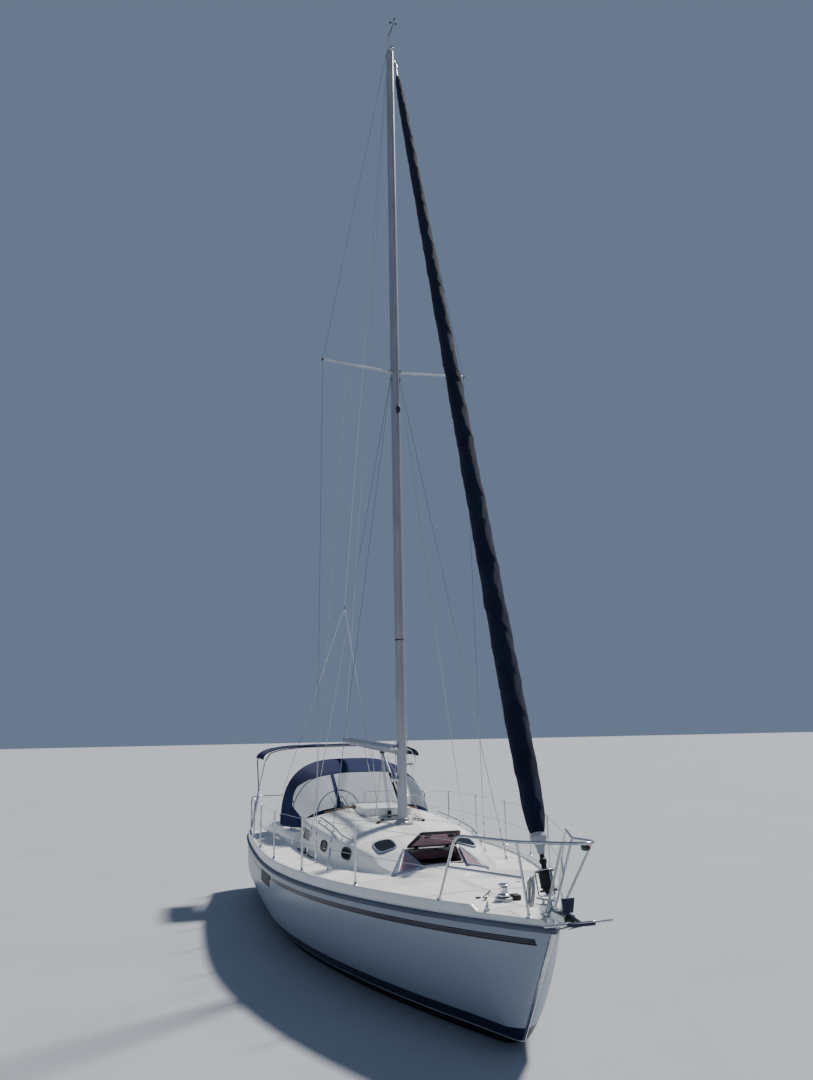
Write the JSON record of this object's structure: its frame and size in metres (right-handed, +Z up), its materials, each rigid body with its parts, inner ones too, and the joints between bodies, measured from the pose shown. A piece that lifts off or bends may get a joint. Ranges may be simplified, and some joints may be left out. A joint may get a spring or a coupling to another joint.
{
  "type": "sailing yacht",
  "caption": "Masthead sloop cruising yacht afloat, with fin keel, spade rudder, furled headsail, trunk cabin, open cockpit, dodger and bimini.",
  "frame": {"origin": "amidships on the centreline, at the water surface", "axes": "+X towards the bow, +Y to port, +Z up"},
  "size_m": [11.1275, 3.8538, 18.2703],
  "materials": {
    "topsides": "gloss gelcoat",
    "gelcoat": "semi-gloss gelcoat",
    "vinyl_rail": "satin",
    "stainless": "polished",
    "spar_alloy": "anodised satin",
    "bronze": "cast",
    "canvas": "woven acrylic canvas",
    "sail_cover": "woven sun cover",
    "window_acrylic": "tinted",
    "hatch_acrylic": "tinted acrylic",
    "clear_vinyl": "clear",
    "keel_iron": "antifouled",
    "rudder_laminate": "antifouled",
    "anchor_paint": "painted",
    "black_plastic": "matt",
    "cushion_cloth": "woven",
    "engine_paint": "painted"
  },
  "bodies": {
    "hull": {"hull": "topsides", "engine_block": "engine_paint", "berth_cushion": "cushion_cloth", "deck": "gelcoat", "rub_rail": "vinyl_rail", "coachroof": "gelcoat", "front_window_starboard": "window_acrylic", "front_window_port": "window_acrylic", "washboard": "hatch_acrylic", "cockpit": "gelcoat", "steering_pedestal": "gelcoat", "keel": "keel_iron", "shaft_strut": "bronze", "mast": "spar_alloy", "mast_step": "spar_alloy", "spreader_starboard": "spar_alloy", "spreader_port": "spar_alloy", "cap_shroud_starboard": "stainless", "cap_shroud_port": "stainless", "lower_shrouds_starboard": "stainless", "lower_shrouds_port": "stainless", "backstay": "stainless", "furler_cage": "stainless", "masthead_instruments": "black_plastic", "stanchions_starboard": "stainless", "stanchions_port": "stainless", "aft_stanchions_starboard": "stainless", "aft_stanchions_port": "stainless", "pulpit": "stainless", "pushpit_starboard": "stainless", "pushpit_port": "stainless", "dodger_canvas": "canvas", "dodger_window": "clear_vinyl", "bimini_canvas": "canvas", "bimini_frame": "stainless", "windlass_base": "spar_alloy", "bow_cleat_starboard": "stainless", "bow_cleat_port": "stainless", "bow_roller": "stainless", "anchor": "anchor_paint", "ladder_bracket": "stainless"},
    "rudder": {"rudder": "rudder_laminate"},
    "propeller": {"propeller": "bronze"},
    "steering_wheel": {"steering_wheel": "stainless"},
    "boom": {"boom": "spar_alloy", "vang": "spar_alloy"},
    "furler": {"furled_genoa": "sail_cover", "furler_drum": "black_plastic"},
    "forward_hatch": {"forward_hatch_lid": "hatch_acrylic"},
    "starboard_hatch": {"starboard_hatch_lid": "hatch_acrylic"},
    "port_hatch": {"port_hatch_lid": "hatch_acrylic"},
    "aft_hatch": {"aft_hatch_lid": "hatch_acrylic"},
    "sliding_hatch": {"sliding_hatch": "gelcoat"},
    "wind_cups": {"wind_cups": "black_plastic"},
    "wind_vane": {"wind_vane": "black_plastic"},
    "windlass": {"windlass_drum": "stainless"},
    "winch_starboard": {"winch_drum_starboard": "stainless"},
    "winch_port": {"winch_drum_port": "stainless"},
    "boarding_ladder": {"boarding_ladder": "stainless"},
    "anchor_locker": {"anchor_locker_lid": "gelcoat"}
  },
  "joints": [
    {"name": "rudder_turn", "type": "hinge", "parent": "hull", "child": "rudder", "pos_m": [-4.08, 0, 0.1], "axis": [0, 0, 1], "range_deg": [-35, 35]},
    {"name": "propeller_spin", "type": "hinge", "parent": "hull", "child": "propeller", "pos_m": [-3.18, 0, -0.64], "axis": [0.9903, 0, 0.1392], "continuous": true},
    {"name": "wheel_turn", "type": "hinge", "parent": "hull", "child": "steering_wheel", "pos_m": [-3.81, 0, 1.48], "axis": [1, 0, 0], "range_deg": [-540, 540]},
    {"name": "boom_swing", "type": "hinge", "parent": "hull", "child": "boom", "pos_m": [0.359, 0, 2.762], "axis": [0, 0, 1], "range_deg": [-62, 62]},
    {"name": "furler_turn", "type": "hinge", "parent": "hull", "child": "furler", "pos_m": [5.14, 0, 1.47], "axis": [-0.3106, 0, 0.9505], "continuous": true},
    {"name": "forward_hatch_hinge", "type": "hinge", "parent": "hull", "child": "forward_hatch", "pos_m": [1.79, 0, 1.547], "axis": [0, 1, 0], "range_deg": [-60, 46]},
    {"name": "starboard_hatch_hinge", "type": "hinge", "parent": "hull", "child": "starboard_hatch", "pos_m": [1.69124, -0.56097, 1.52479], "axis": [0.0324, 0.9868, 0.1584], "range_deg": [0, 80]},
    {"name": "port_hatch_hinge", "type": "hinge", "parent": "hull", "child": "port_hatch", "pos_m": [1.69124, 0.56097, 1.52479], "axis": [-0.0324, 0.9868, -0.1584], "range_deg": [0, 80]},
    {"name": "aft_hatch_hinge", "type": "hinge", "parent": "hull", "child": "aft_hatch", "pos_m": [0.17409, 0, 1.75231], "axis": [0, 1, 0], "range_deg": [0, 80]},
    {"name": "sliding_hatch_slide", "type": "slide", "parent": "hull", "child": "sliding_hatch", "axis": [1, 0, 0], "range_m": [0, 0.56]},
    {"name": "cups_spin", "type": "hinge", "parent": "hull", "child": "wind_cups", "pos_m": [0.64813, 0, 16.05], "axis": [0, 0, 1], "continuous": true},
    {"name": "vane_turn", "type": "hinge", "parent": "hull", "child": "wind_vane", "pos_m": [0.41813, 0, 16.05], "axis": [0, 0, 1], "continuous": true},
    {"name": "windlass_spin", "type": "hinge", "parent": "hull", "child": "windlass", "pos_m": [4.08, 0, 1.4], "axis": [0, 0, 1], "continuous": true},
    {"name": "winch_starboard_spin", "type": "hinge", "parent": "hull", "child": "winch_starboard", "pos_m": [-3.35, -1.185, 1.45], "axis": [0, 0, 1], "continuous": true},
    {"name": "winch_port_spin", "type": "hinge", "parent": "hull", "child": "winch_port", "pos_m": [-3.35, 1.185, 1.45], "axis": [0, 0, 1], "continuous": true},
    {"name": "ladder_hinge", "type": "hinge", "parent": "hull", "child": "boarding_ladder", "pos_m": [-5.202, 0, 0.365], "axis": [0, 1, 0], "range_deg": [-175, 0]},
    {"name": "anchor_locker_hinge", "type": "hinge", "parent": "hull", "child": "anchor_locker", "pos_m": [4.484, 0, 1.345], "axis": [0, 1, 0], "range_deg": [-85, 0]}
  ],
  "couplings": [
    {"joint": "wheel_turn", "follows": "rudder_turn", "ratio": 15.4}
  ]
}
